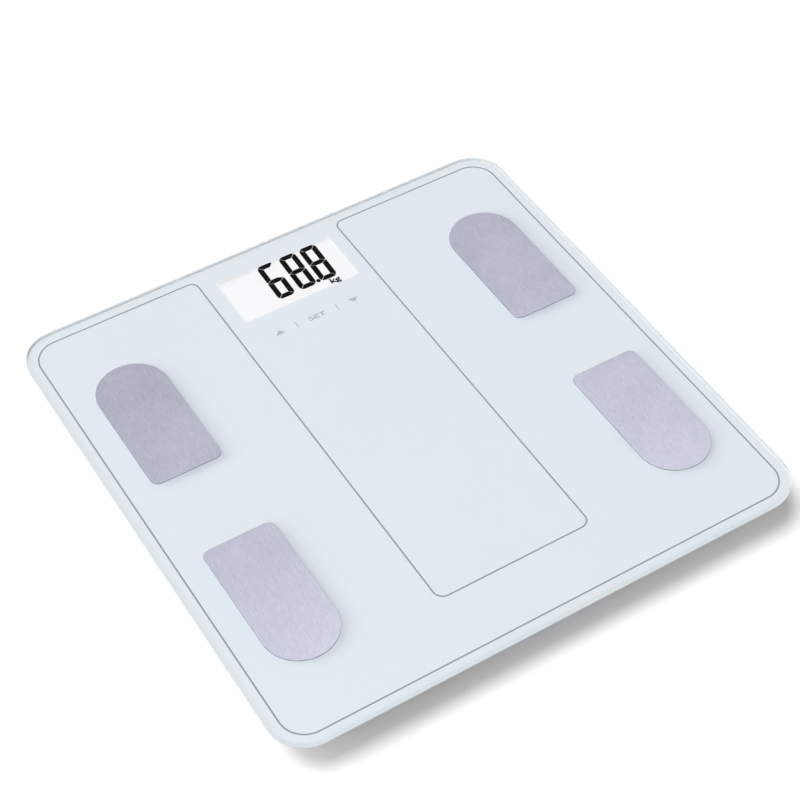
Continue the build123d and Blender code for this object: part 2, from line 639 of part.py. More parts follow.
def door_latch():
    outer_r = LATCH_SPAN / 2
    inner_r = outer_r - LATCH_THICK
    top = TRAY_Z + DOOR_THICK + LATCH_HEIGHT - outer_r
    legs = Pos(0, (TRAY_Z + top) / 2) * Rectangle(LATCH_SPAN, top - TRAY_Z)
    gap = Pos(0, (TRAY_Z + top) / 2) * Rectangle(2 * inner_r, top - TRAY_Z)
    bow = legs + Pos(0, top) * Circle(outer_r) - gap - Pos(0, top) * Circle(inner_r)
    root = Pos(-outer_r + LATCH_THICK / 2, TRAY_Z + DOOR_THICK / 2) * Rectangle(LATCH_THICK, DOOR_THICK)
    nib_z = FLOOR_TOP + LATCH_GAP
    nib_tip = outer_r + LATCH_NIB
    nib = Polyline((outer_r, nib_z), (nib_tip, nib_z), (outer_r, nib_z + LATCH_NIB_H), close=True)
    profile = bow - root + make_face(nib)
    across = Plane((0, DOOR_BACK - outer_r, 0), x_dir=(0, 1, 0), z_dir=(1, 0, 0))
    return extrude(across * profile, LATCH_W / 2, both=True)


def battery_rows():
    first = BAY_Y - (BATTERY_COUNT - 1) * BATTERY_PITCH / 2
    return [(first + i * BATTERY_PITCH, 1 if i % 2 == 0 else -1) for i in range(BATTERY_COUNT)]


def battery_cell(way):
    body = extrude(Circle(BATTERY_D / 2), BATTERY_L - BATTERY_NUB_L)
    body = fillet(body.edges(), BATTERY_EDGE)
    body = body + Pos(0, 0, BATTERY_L - BATTERY_NUB_L) * extrude(Circle(BATTERY_NUB_D / 2), BATTERY_NUB_L)
    tip = BAY_L / 2 - CONTACT_THICK - DIMPLE_H
    along = Plane((way * (tip - BATTERY_L), 0, 0), x_dir=(0, 1, 0), z_dir=(way, 0, 0))
    return along * body


def contact_base(way):
    wall = Plane((way * BAY_L / 2, 0, 0), x_dir=(0, 1, 0), z_dir=(-way, 0, 0))
    return wall * extrude(RectangleRounded(CONTACT_W, CONTACT_H, CONTACT_CORNER), CONTACT_THICK)


def battery_plate(way):
    face = way * (BAY_L / 2 - CONTACT_THICK)
    dimple = extrude(Circle(DIMPLE_D / 2), DIMPLE_H)
    return contact_base(way) + Plane((face, 0, 0), x_dir=(0, 1, 0), z_dir=(-way, 0, 0)) * dimple


def battery_spring(way):
    rise = SPRING_ROOM - CONTACT_THICK
    half = CONTACT_H / 2 - SPRING_MARGIN
    bow_r = (half * half + rise * rise) / (2 * rise)
    bow = Pos(rise - bow_r, 0) * (Circle(bow_r) - Circle(bow_r - CONTACT_THICK))
    bow = bow & Pos(rise / 2, 0) * Rectangle(rise, 2 * CONTACT_H)
    face = way * (BAY_L / 2 - CONTACT_THICK)
    edge_on = Plane((face, 0, 0), x_dir=(-way, 0, 0), z_dir=(0, way, 0))
    return contact_base(way) + extrude(edge_on * bow, SPRING_W / 2, both=True)


# Display and board

def lcd_panel():
    return Pos(0, WINDOW_Y, 0) * slab(LCD_W, LCD_D, LCD_CORNER, FILM_Z - LCD_THICK, LCD_THICK)


def lcd_backlight():
    width = LCD_W - 2 * BACKLIGHT_INSET
    front = WINDOW_Y - LCD_D / 2 + LCD_LEDGE
    back = WINDOW_Y + LCD_D / 2 - BACKLIGHT_INSET
    z = FILM_Z - LCD_THICK - BACKLIGHT_THICK
    return block(-width / 2, width / 2, front, back, z, z + BACKLIGHT_THICK)


def lcd_holder():
    width = LCD_W + 2 * HOLDER_CLEARANCE
    depth = LCD_D + 2 * HOLDER_CLEARANCE
    frame = 2 * HOLDER_WALL
    outside = slab(width + frame, depth + frame, HOLDER_WALL, HOLDER_Z, DISPLAY_DROP)
    pocket_z = HOLDER_Z + HOLDER_LEDGE
    pocket = slab(width, depth, LCD_CORNER + HOLDER_CLEARANCE, pocket_z, FILM_Z - pocket_z)
    through = block(
        HOLDER_LEDGE_W - width / 2, width / 2 - HOLDER_LEDGE_W,
        -depth / 2, depth / 2 - HOLDER_LEDGE_W, HOLDER_Z, pocket_z,
    )
    posts = []
    for x in (-HOLDER_POST_X, HOLDER_POST_X):
        left = x - HOLDER_POST_D / 2
        bar = block(left, left + HOLDER_POST_D, -depth / 2, depth / 2, HOLDER_Z, pocket_z)
        post = disc(HOLDER_POST_D, BOARD_TOP, pocket_z - BOARD_TOP)
        posts += [bar, Pos(x, LCD_LEDGE - depth / 2 + HOLDER_POST_D / 2, 0) * post]
        posts.append(Pos(x, depth / 2 - HOLDER_POST_DROP - HOLDER_POST_D / 2, 0) * post)
    strip_room = block(
        STRIP_END - width / 2, width / 2 - STRIP_END,
        -depth / 2, LCD_LEDGE - depth / 2, HOLDER_Z, pocket_z,
    )
    return Pos(0, WINDOW_Y, 0) * (outside - pocket - through + posts - strip_room)


def lcd_connector_strip():
    front = WINDOW_Y - LCD_D / 2 + (LCD_LEDGE - STRIP_D) / 2
    half = LCD_W / 2 - STRIP_END
    return block(-half, half, front, front + STRIP_D, BOARD_TOP, FILM_Z - LCD_THICK)


def main_board():
    board = Pos(0, BOARD_Y, 0) * slab(BOARD_W, BOARD_D, BOARD_CORNER, BOARD_Z, BOARD_THICK)
    hole = disc(SCREW_D + 2 * SCREW_HOLE_CLEARANCE, BOARD_Z, BOARD_THICK)
    return board - [Pos(x, y, 0) * hole for x, y in boss_spots()]


def board_screw():
    tip = BOARD_TOP - BOARD_THICK - SCREW_GRIP
    shank = disc(SCREW_D - 2 * NUT_CLEARANCE, tip, BOARD_TOP - tip)
    head = disc(SCREW_HEAD_D, BOARD_TOP, SCREW_HEAD_H)
    head = fillet(head.faces().sort_by(Axis.Z)[-1].edges(), SCREW_HEAD_EDGE)
    return shank + head


def chip(width, depth, x):
    body = Pos(x, BOARD_Y, BOARD_Z - CHIP_THICK) * extrude(Rectangle(width, depth), CHIP_THICK)
    return chamfer(body.faces().sort_by(Axis.Z)[0].edges(), CHIP_EDGE)


def touch_pad():
    pad = slab(TOUCH_PAD_W, TOUCH_PAD_D, TOUCH_PAD_CORNER, BOARD_TOP, FILM_Z - BOARD_TOP)
    return Pos(0, KEY_Y, 0) * pad


def unit_switch():
    body = slab(SWITCH_SIZE, SWITCH_SIZE, SWITCH_CORNER, SWITCH_Z, SWITCH_HEIGHT)
    bore_depth = PLUNGER_INSIDE + UNIT_TRAVEL + PLUNGER_CLEARANCE
    bore = disc(PLUNGER_D + 2 * PLUNGER_CLEARANCE, SWITCH_Z, bore_depth)
    return Pos(UNIT_X, UNIT_Y, 0) * (body - bore)


def switch_plunger():
    return Pos(UNIT_X, UNIT_Y, 0) * disc(PLUNGER_D, UNIT_TOP, PLUNGER_REACH + PLUNGER_INSIDE)


def unit_button():
    bottom = TRAY_Z + UNIT_RECESS
    shoulder = FLOOR_TOP + UNIT_FLANGE_GAP
    cap = disc(UNIT_D, bottom, shoulder - bottom)
    cap = fillet(cap.faces().sort_by(Axis.Z)[0].edges(), UNIT_EDGE)
    flange = disc(UNIT_D + 2 * UNIT_FLANGE, shoulder, UNIT_FLANGE_THICK)
    return Pos(UNIT_X, UNIT_Y, 0) * (cap + flange)


def scale_pieces():
    rows = battery_rows()
    pieces = {
        "glass_platform": glass_platform(),
        "printed_film": printed_film(),
        "bonding_tape": bonding_tape(),
        "base_tray": base_tray(),
        "electrode_tapes": [at_electrode(electrode_tape(), sx, sy) for sx, sy in CORNERS.values()],
        "electrode_terminals": [Pos(x, y, 0) * electrode_terminal(x) for x, y in stud_spots()],
        "electrode_nuts": [Pos(x, y, 0) * electrode_nut() for x, y in stud_spots()],
        "electrode_leads": [electrode_lead(sx, sy) for sx, sy in CORNERS.values()],
        "battery_door": battery_door(),
        "door_latch": door_latch(),
        "battery_cells": [Pos(0, y, BATTERY_Z) * battery_cell(way) for y, way in rows],
        "battery_plates": [Pos(0, y, BATTERY_Z) * battery_plate(way) for y, way in rows],
        "battery_springs": [Pos(0, y, BATTERY_Z) * battery_spring(-way) for y, way in rows],
        "lcd_panel": lcd_panel(),
        "lcd_backlight": lcd_backlight(),
        "lcd_holder": lcd_holder(),
        "lcd_connector_strip": lcd_connector_strip(),
        "main_board": main_board(),
        "controller_chip": chip(CONTROLLER_SIZE, CONTROLLER_SIZE, CONTROLLER_X),
        "weigh_chip": chip(WEIGH_CHIP_W, WEIGH_CHIP_D, WEIGH_CHIP_X),
        "board_screws": [Pos(x, y, 0) * board_screw() for x, y in boss_spots()],
        "touch_pads": [Pos(x, 0, 0) * touch_pad() for x in (-KEY_PITCH, 0, KEY_PITCH)],
        "unit_switch": unit_switch(),
        "switch_plunger": switch_plunger(),
        "unit_button": unit_button(),
    }
    foot = {
        "foot_cup": foot_cup(), "foot_pad": foot_pad(), "load_cell": load_cell(),
        "strain_gauge": strain_gauge(), "load_button": load_button(),
    }
    for corner, (sx, sy) in CORNERS.items():
        pieces["electrode_" + corner] = at_electrode(electrode(), sx, sy)
        for name, shape in foot.items():
            pieces[name + "_" + corner] = at_foot(shape, sx, sy)
        pieces["load_cell_lead_" + corner] = load_cell_lead(sx, sy)
    return pieces


os.makedirs("parts", exist_ok=True)
for node, shape in scale_pieces().items():
    solid = Compound(children=shape) if isinstance(shape, list) else shape
    export_step(solid, "parts/" + node + ".step")
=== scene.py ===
import json
from math import radians

import bmesh
import bpy
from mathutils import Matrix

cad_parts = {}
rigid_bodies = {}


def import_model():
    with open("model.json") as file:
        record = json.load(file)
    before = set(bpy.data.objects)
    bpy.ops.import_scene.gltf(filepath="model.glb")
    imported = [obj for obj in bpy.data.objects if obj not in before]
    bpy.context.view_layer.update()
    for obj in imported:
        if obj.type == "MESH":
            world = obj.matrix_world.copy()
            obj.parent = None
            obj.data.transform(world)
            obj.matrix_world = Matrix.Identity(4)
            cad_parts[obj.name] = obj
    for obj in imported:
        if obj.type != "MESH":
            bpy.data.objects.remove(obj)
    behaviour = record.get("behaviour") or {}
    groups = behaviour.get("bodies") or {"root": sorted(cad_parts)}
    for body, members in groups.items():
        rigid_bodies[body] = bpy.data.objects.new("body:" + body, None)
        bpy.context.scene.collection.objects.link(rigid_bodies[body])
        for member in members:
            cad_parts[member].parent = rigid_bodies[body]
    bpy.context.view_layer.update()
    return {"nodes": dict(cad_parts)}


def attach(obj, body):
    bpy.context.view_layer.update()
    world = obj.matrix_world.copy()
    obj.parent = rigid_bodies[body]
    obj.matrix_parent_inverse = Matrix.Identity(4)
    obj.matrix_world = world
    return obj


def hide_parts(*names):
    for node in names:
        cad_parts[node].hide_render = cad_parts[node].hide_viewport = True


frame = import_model()
mm = 0.001
weld = 1e-7  # points closer than this are one, in metres
ringSteps = 24
corners = ("back_left", "back_right", "front_left", "front_right")
print("frame loaded,", len(frame["nodes"]), "nodes")


# levels and edges read from the frame, in millimetres

def boxOf(node):  # lowest and highest corner
    spots = [vertex.co for vertex in frame["nodes"][node].data.vertices]
    return [[round(end(spot[i] for spot in spots) / mm, 3) for i in range(3)] for end in (min, max)]


glassLow, glassHigh = boxOf("glass_platform")
filmLow, filmHigh = boxOf("printed_film")
displayHigh = boxOf("lcd_panel")[1]


# selecting and shaping

def clearPick():  # object mode, nothing selected
    if bpy.context.object and bpy.context.object.mode != "OBJECT":
        bpy.ops.object.mode_set(mode="OBJECT")
    bpy.ops.object.select_all(action="DESELECT")


def pick(kind, test):  # edit mode: only what passes the test stays selected
    bpy.ops.mesh.select_mode(type=kind)
    bpy.ops.mesh.select_all(action="DESELECT")
    mesh = bpy.context.object.data
    shape = bmesh.from_edit_mesh(mesh)
    for item in {"VERT": shape.verts, "FACE": shape.faces}[kind]:
        item.select_set(test(item.co if kind == "VERT" else item.calc_center_median()))
    shape.select_flush_mode()
    bmesh.update_edit_mesh(mesh)


def pickAll():
    bpy.ops.mesh.select_mode(type="VERT")
    bpy.ops.mesh.select_all(action="SELECT")


def flatSheet(name, width, depth):  # a plane at its size, left in edit mode
    clearPick()
    bpy.ops.mesh.primitive_plane_add(size=1, location=(0, 0, 0))
    bpy.context.object.name = bpy.context.object.data.name = name
    bpy.ops.object.mode_set(mode="EDIT")
    bpy.ops.transform.resize(value=(width, depth, 1))
    return bpy.context.object


def thicken(bottom, thick, across=(0, 0)):  # flat sheet to a thin slab at its place
    pickAll()
    bpy.ops.mesh.extrude_region_move(TRANSFORM_OT_translate={"value": (0, 0, thick)})
    pickAll()
    bpy.ops.transform.translate(value=(across[0], across[1], bottom))
    bpy.ops.mesh.remove_doubles(threshold=weld)
    bpy.ops.mesh.normals_make_consistent(inside=False)
    bpy.ops.object.mode_set(mode="OBJECT")


def roundedSlab(name, width, depth, corner, bottom, thick, across=(0, 0), steps=10):
    slab = flatSheet(name, width, depth)
    bpy.ops.mesh.bevel(affect="VERTICES", offset=corner, segments=steps)
    thicken(bottom, thick, across)
    return slab


def joined(name, parts):
    clearPick()
    for part in parts:
        part.select_set(True)
    bpy.context.view_layer.objects.active = parts[0]
    bpy.ops.object.join()
    whole = bpy.context.object
    whole.name = whole.data.name = name
    bpy.ops.object.transform_apply(location=True, rotation=True, scale=True)
    return whole


def cutAway(piece, cutter):
    clearPick()
    piece.select_set(True)
    bpy.context.view_layer.objects.active = piece
    cut = piece.modifiers.new("cut", "BOOLEAN")
    cut.operation, cut.solver, cut.use_self, cut.object = "DIFFERENCE", "EXACT", True, cutter
    bpy.ops.object.modifier_apply(modifier=cut.name)
    bpy.data.objects.remove(cutter)


def copyOf(piece, name, shift):
    clearPick()
    piece.select_set(True)
    bpy.context.view_layer.objects.active = piece
    bpy.ops.object.duplicate(linked=False)
    twin = bpy.context.object
    twin.name = twin.data.name = name
    bpy.ops.object.mode_set(mode="EDIT")
    pickAll()
    bpy.ops.transform.translate(value=shift)
    bpy.ops.object.mode_set(mode="OBJECT")
    return twin


# shader maths

class Field:  # one socket; maths on it adds Math nodes
    def __init__(self, finish, socket):
        self.finish, self.socket = finish, socket

    def maths(self, operation, *values):
        return self.finish.node("ShaderNodeMath", {"operation": operation}, dict(enumerate(values)))

    def __add__(self, other):
        return self.maths("ADD", self, other)

    def __radd__(self, other):
        return self.maths("ADD", other, self)

    def __sub__(self, other):
        return self.maths("SUBTRACT", self, other)

    def __rsub__(self, other):
        return self.maths("SUBTRACT", other, self)

    def __mul__(self, other):
        return self.maths("MULTIPLY", self, other)

    def __abs__(self):
        return self.maths("ABSOLUTE", self)

    def __mod__(self, other):
        return self.maths("FLOORED_MODULO", self, other)

    def above(self, level):
        return self.maths("GREATER_THAN", self, level)

    def atLeast(self, level):
        return self.maths("MAXIMUM", self, level)

    def root(self):
        return self.maths("SQRT", self)

    def spread(self, low, high, start=0.0, end=1.0):  # smooth step between two levels
        return self.finish.node("ShaderNodeMapRange", {"interpolation_type": "SMOOTHSTEP"},
                                {0: self, 1: low, 2: high, 3: start, 4: end})


class Finish:  # one material round a Principled shader
    def __init__(self, name, **even):  # even: what is the same all over
        self.material = bpy.data.materials.new(name)
        self.material.use_nodes = True
        self.tree = self.material.node_tree
        self.tree.nodes.clear()
        self.end = self.tree.nodes.new("ShaderNodeOutputMaterial")
        self.shader = self.tree.nodes.new("ShaderNodeBsdfPrincipled")
        self.tree.links.new(self.shader.outputs[0], self.end.inputs[0])
        for key, value in even.items():
            self.shader.inputs[key.replace("_", " ")].default_value = value
        self.place = self.node("ShaderNodeTexCoord", {}, {}, "Object")

    def node(self, kind, settings, sockets, output=0):
        made = self.tree.nodes.new(kind)
        for key, value in settings.items():
            setattr(made, key, value)
        for key, value in sockets.items():
            if isinstance(value, Field):
                self.tree.links.new(value.socket, made.inputs[key])
            else:
                made.inputs[key].default_value = value
        return Field(self, made.outputs[output])

    def axes(self):  # x, y and z of the piece, in millimetres
        split = self.tree.nodes.new("ShaderNodeSeparateXYZ")
        self.tree.links.new(self.place.socket, split.inputs[0])
        return [Field(self, socket) * (1 / mm) for socket in split.outputs]

    def upward(self):  # 1 on a level top, 0 on a side wall
        facing = self.node("ShaderNodeNewGeometry", {}, {}, "Normal")
        return self.node("ShaderNodeSeparateXYZ", {}, {0: facing}, 2)

    def noise(self, size, detail=2.0, stretch=(1, 1, 1)):  # blotches about size across, in mm
        scale = [1 / (size * mm * s) for s in stretch]
        spot = self.node("ShaderNodeMapping", {}, {"Vector": self.place, "Scale": scale})
        return self.node("ShaderNodeTexNoise", {}, {"Vector": spot, "Scale": 1.0, "Detail": detail})

    def blend(self, factor, first, second):  # two colours
        return self.node("ShaderNodeMix", {"data_type": "RGBA"}, {0: factor, 6: first, 7: second}, 2)

    def bump(self, height, depth, strength=1.0):
        return self.node("ShaderNodeBump", {},
                         {"Strength": strength, "Distance": depth * mm, "Height": height})

    def feed(self, **fields):  # what changes over the surface
        for key, field in fields.items():
            self.tree.links.new(field.socket, self.shader.inputs[key.replace("_", " ")])
        return self.material


def shade(red, green, blue):  # screen values to linear
    levels = [v / 255 for v in (red, green, blue)]
    linear = [v / 12.92 if v < 0.04 else ((v + 0.055) / 1.055) ** 2.4 for v in levels]
    return tuple(linear) + (1,)


def toned(colour, times, plus=0.0):  # lighter or darker
    return tuple(min(1, c * times + plus) for c in colour[:3]) + (1,)


def dress(material, *nodes):
    for name in nodes:
        slots = frame["nodes"][name].data.materials
        slots.clear()
        slots.append(material)


def everyCorner(stem):
    return [stem + "_" + corner for corner in corners]


# print on the underside of the glass, with the display window

printFilm = {"inset": 0.4, "glassCorner": 20.0, "lap": 0.02,
             "studHole": 2.5, "cutBelow": 0.8, "cutDeep": 2.0,
             "colour": shade(218, 222, 230), "shadeDown": 0.975, "grain": 0.25, "cloud": 90,
             "windowSize": (71.0, 33.7), "windowAt": (1.2, 118.75), "windowCorner": 2.0,
             "glowReach": 1.2, "paintedGlowShare": 0.65, "paintedGlowColour": shade(232, 234, 237),
             "edgeStrip": 3.8, "stripFade": 2.2, "edgeColour": shade(213, 217, 223)}
filmSide = glassHigh[0] - glassLow[0] - 2 * printFilm["inset"]  # print reaches nearly to the glass edge
filmCorner = printFilm["glassCorner"] - printFilm["inset"]
printLevel = filmHigh[2] + printFilm["lap"]  # top of the print, and foot of the marks on it


def backPrint():
    finish = Finish("backPrint", Roughness=0.45)
    x, y = finish.axes()[:2]
    besideX = (abs(x - printFilm["windowAt"][0]) - printFilm["windowSize"][0] / 2).atLeast(0)
    besideY = (abs(y - printFilm["windowAt"][1]) - printFilm["windowSize"][1] / 2).atLeast(0)
    glow = (besideX * besideX + besideY * besideY).spread(printFilm["glowReach"] ** 2, 0)
    tone = finish.noise(printFilm["grain"], 1) * 0.5 + finish.noise(printFilm["cloud"], 2) * 0.5
    dim = toned(printFilm["colour"], printFilm["shadeDown"])
    ground = finish.blend(tone, dim, printFilm["colour"])
    inner = filmSide / 2 - filmCorner
    outX, outY = (abs(x) - inner).atLeast(0), (abs(y) - inner).atLeast(0)
    out = (outX * outX + outY * outY).root()  # from the corner centres outwards
    start = filmCorner - printFilm["edgeStrip"]
    strip = out.spread(start, start + printFilm["stripFade"])
    ground = finish.blend(strip, ground, printFilm["edgeColour"])  # the print turns greyer in a band along the border
    # painted glow: display light leaking past the window, painted into the print colour
    ground = finish.blend(glow * printFilm["paintedGlowShare"], ground, printFilm["paintedGlowColour"])
    return finish.feed(Base_Color=ground)


filmBottom, filmThick = filmLow[2] * mm, (printLevel - filmLow[2]) * mm
cutFrom, cutDeep = filmBottom - printFilm["cutBelow"] * mm, printFilm["cutDeep"] * mm
filmPiece = roundedSlab("printedSheet", filmSide * mm, filmSide * mm, filmCorner * mm,
                        filmBottom, filmThick)
windowWide, windowLong = (v * mm for v in printFilm["windowSize"])
windowAt = [v * mm for v in printFilm["windowAt"]]
openings = [roundedSlab("windowCut", windowWide, windowLong, printFilm["windowCorner"] * mm,
                        cutFrom, cutDeep, windowAt, steps=6)]
for node in everyCorner("electrode"):  # its stud stands in the middle of the plate
    low, high = boxOf(node)
    studAt = [(low[i] + high[i]) / 2 * mm for i in (0, 1)] + [cutFrom + cutDeep / 2]
    clearPick()
    bpy.ops.mesh.primitive_cylinder_add(vertices=ringSteps, radius=printFilm["studHole"] * mm,
                                        depth=cutDeep, location=studAt)
    openings.append(bpy.context.object)
cutAway(filmPiece, joined("openingCut", openings))
filmPiece.data.materials.append(backPrint())
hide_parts("printed_film")
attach(filmPiece, "scale")
print("print sheet", len(filmPiece.data.polygons), "faces")


# glass platform

glassPlate = {"tint": (0.955, 0.985, 0.975, 1), "lampTint": (0.97, 0.985, 0.98, 1), "index": 1.5,
              "gloss": (0.17, 0.17, 0.17, 1), "rimRough": 0.38, "rimTint": (0.82, 0.88, 0.865, 1),
              "rimFrom": (0.85, 0.25), "smear": 0.012, "smearSize": 60, "smearFrom": (0.5, 0.8),
              "inkRough": 0.5, "inkIn": (0.0, 0.04), "inkOut": (0.9, 1.0)}  # ink: heights on the edge


def clearGlass():
    finish = Finish("clearGlass", IOR=glassPlate["index"], Transmission_Weight=1.0,
                    Specular_Tint=glassPlate["gloss"])
    rim = abs(finish.upward()).spread(*glassPlate["rimFrom"])  # ground edges, polished faces
    smear = finish.noise(glassPlate["smearSize"], 3).spread(*glassPlate["smearFrom"])
    rough = rim * glassPlate["rimRough"] + smear * glassPlate["smear"]
    colour = finish.blend(rim, glassPlate["tint"], glassPlate["rimTint"])
    finish.feed(Roughness=rough, Base_Color=colour)
    # lamp light and bounced light reach the print straight
    lamp = finish.node("ShaderNodeLightPath", {}, {}, "Is Shadow Ray")
    lamp = lamp.atLeast(finish.node("ShaderNodeLightPath", {}, {}, "Is Diffuse Ray"))
    clear = finish.node("ShaderNodeBsdfTransparent", {}, {0: glassPlate["lampTint"]})
    glass = Field(finish, finish.shader.outputs[0])
    body = finish.node("ShaderNodeMixShader", {}, {0: lamp, 1: glass, 2: clear})
    height = finish.axes()[2]
    inkIn, inkOut = ([glassLow[2] + v for v in glassPlate[key]] for key in ("inkIn", "inkOut"))
    inked = height.spread(*inkIn) * (1 - height.spread(*inkOut))  # print round the lower edge
    ink = finish.node("ShaderNodeBsdfPrincipled", {},
                      {"Base Color": printFilm["edgeColour"], "Roughness": glassPlate["inkRough"]})
    whole = finish.node("ShaderNodeMixShader", {}, {0: inked, 1: body, 2: ink})
    finish.tree.links.new(whole.socket, finish.end.inputs[0])
    return finish.material


dress(clearGlass(), "glass_platform")


# printed rule: round the edge and in along the middle panel, open at the back

printRule = {"half": 144.2, "corner": 14.3, "middle": 0.4, "width": 0.85, "thick": 0.03,
             "panelLeft": -43.8, "panelRight": 44.5, "panelEnd": -109.6, "panelCorner": 5.0,
             "cornerSteps": 16, "panelSteps": 10, "straight": 1, "colour": shade(138, 148, 158)}
inkFade = {"patch": 1.2, "lighter": 1.12}


def printedInk(name, colour):
    finish = Finish(name, Roughness=0.8, Specular_IOR_Level=0.05)
    thin = toned(colour, inkFade["lighter"])
    return finish.feed(Base_Color=finish.blend(finish.noise(inkFade["patch"], 3), colour, thin))


half, corner, panelCorner = (printRule[key] * mm for key in ("half", "corner", "panelCorner"))
left, right, end = (printRule[key] * mm for key in ("panelLeft", "panelRight", "panelEnd"))
near = 0.1 * mm  # how close a point counts as on a line
ruleLine = flatSheet("printedRule", 2 * half, 2 * half)
across, along = (1, 0, 0), (0, 1, 0)
for point, normal in (((left, 0, 0), across), ((right, 0, 0), across), ((0, end, 0), along)):
    pickAll()
    bpy.ops.mesh.bisect(plane_co=point, plane_no=normal)
pick("FACE", lambda c: left < c.x < right and c.y > end)
bpy.ops.mesh.delete(type="FACE")
pickAll()
bpy.ops.mesh.dissolve_limited(angle_limit=radians(printRule["straight"]))
pick("VERT", lambda c: abs(c.x) > half - near)
bpy.ops.mesh.bevel(affect="VERTICES", offset=corner, segments=printRule["cornerSteps"])
pick("VERT", lambda c: abs(c.x) < right + near and (c.y > half - near or abs(c.y - end) < near))
bpy.ops.mesh.bevel(affect="VERTICES", offset=panelCorner, segments=printRule["panelSteps"])
bpy.ops.mesh.select_mode(type="FACE")
bpy.ops.mesh.select_all(action="SELECT")
bpy.ops.mesh.inset(thickness=printRule["width"] * mm, depth=0)
bpy.ops.mesh.delete(type="FACE")
thicken(printLevel * mm, printRule["thick"] * mm, (printRule["middle"] * mm, 0))
ruleLine.data.materials.append(printedInk("ruleInk", printRule["colour"]))
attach(ruleLine, "scale")
print("printed rule", len(ruleLine.data.polygons), "faces")


# touch-key marks in front of the display

keyMarks = {"row": 85.7, "middle": 0.8, "thick": 0.03, "colour": shade(168, 173, 182),
            "word": "SET", "wordSize": (10.5, 3.0), "bold": 0.1, "arrowX": 23.2, "arrowSize": (5.9, 2.9),
            "barX": 12.65, "barSize": (0.4, 5.0), "barCorner": 0.15}
lettering = {"drawn": 0.01, "curveSteps": 6}  # size before the letters are fitted, in metres


def wordSlab(name, word, size, bold, bottom, thick, across):  # thin letters, sized over all
    width, height = (v * mm for v in size)
    clearPick()
    bpy.ops.object.text_add(location=(0, 0, 0))
    text = bpy.context.object
    text.name, text.data.body, text.data.size = name, word, lettering["drawn"]
    text.data.offset, text.data.resolution_u = bold * mm, lettering["curveSteps"]
    bpy.ops.object.convert(target="MESH")
    letters = bpy.context.object
    spots = [v.co.copy() for v in letters.data.vertices]
    low = [min(s[i] for s in spots) for i in (0, 1)]
    high = [max(s[i] for s in spots) for i in (0, 1)]
    bpy.ops.object.mode_set(mode="EDIT")
    pickAll()
    bpy.ops.transform.translate(value=(-(low[0] + high[0]) / 2, -(low[1] + high[1]) / 2, 0))
    bpy.ops.transform.resize(value=(width / (high[0] - low[0]), height / (high[1] - low[1]), 1),
                             center_override=(0, 0, 0))
    bpy.ops.mesh.remove_doubles(threshold=weld)
    thicken(bottom, thick, across)
    return letters


keyRow, keyMiddle, keyThick = (keyMarks[key] * mm for key in ("row", "middle", "thick"))
arrowX, barX, barCorner = (keyMarks[key] * mm for key in ("arrowX", "barX", "barCorner"))
keyParts = [wordSlab("setWord", keyMarks["word"], keyMarks["wordSize"], keyMarks["bold"],
                     printLevel * mm, keyThick, (keyMiddle, keyRow))]
for side in (-1, 1):
    bar = roundedSlab("keyBar", *(v * mm for v in keyMarks["barSize"]), barCorner,
                      printLevel * mm, keyThick, (keyMiddle + side * barX, keyRow), steps=3)
    arrow = flatSheet("keyArrow", *(v * mm for v in keyMarks["arrowSize"]))
    pick("VERT", lambda c: c.y * side < 0)  # one end closes to a point
    bpy.ops.mesh.merge(type="CENTER")
    thicken(printLevel * mm, keyThick, (keyMiddle + side * arrowX, keyRow))
    keyParts += [bar, arrow]
keyPiece = joined("keyMarks", keyParts)
keyPiece.data.materials.append(printedInk("keyInk", keyMarks["colour"]))
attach(keyPiece, "scale")
print("key marks", len(keyPiece.data.polygons), "faces")


# display figures on the liquid-crystal panel

figures = {"width": 10.4, "height": 28.2, "stroke": 3.05, "corner": 2.9, "holeCorner": 0.5,
           "slit": 0.3, "slitReach": 1.6, "cornerLean": 45, "middleReach": 0.85, "middleLean": 26.6,
           "notch": 0.9, "notchTurn": 45, "slant": 0.026, "columns": (-5.0, 8.7, 21.7), "y": 121.4,
           "thick": 0.22, "blank": 1.0, "pointAt": (14.95, 108.8), "pointRadius": 1.25,
           "unit": "kg", "unitSize": (6.0, 5.2), "unitAt": (23.2, 104.1), "bold": 0.2,
           "colour": shade(1, 1, 1)}
figureWide, figureHigh, stroke = (figures[key] * mm for key in ("width", "height", "stroke"))
figureLevel, figureThick = displayHigh[2] * mm, figures["thick"] * mm


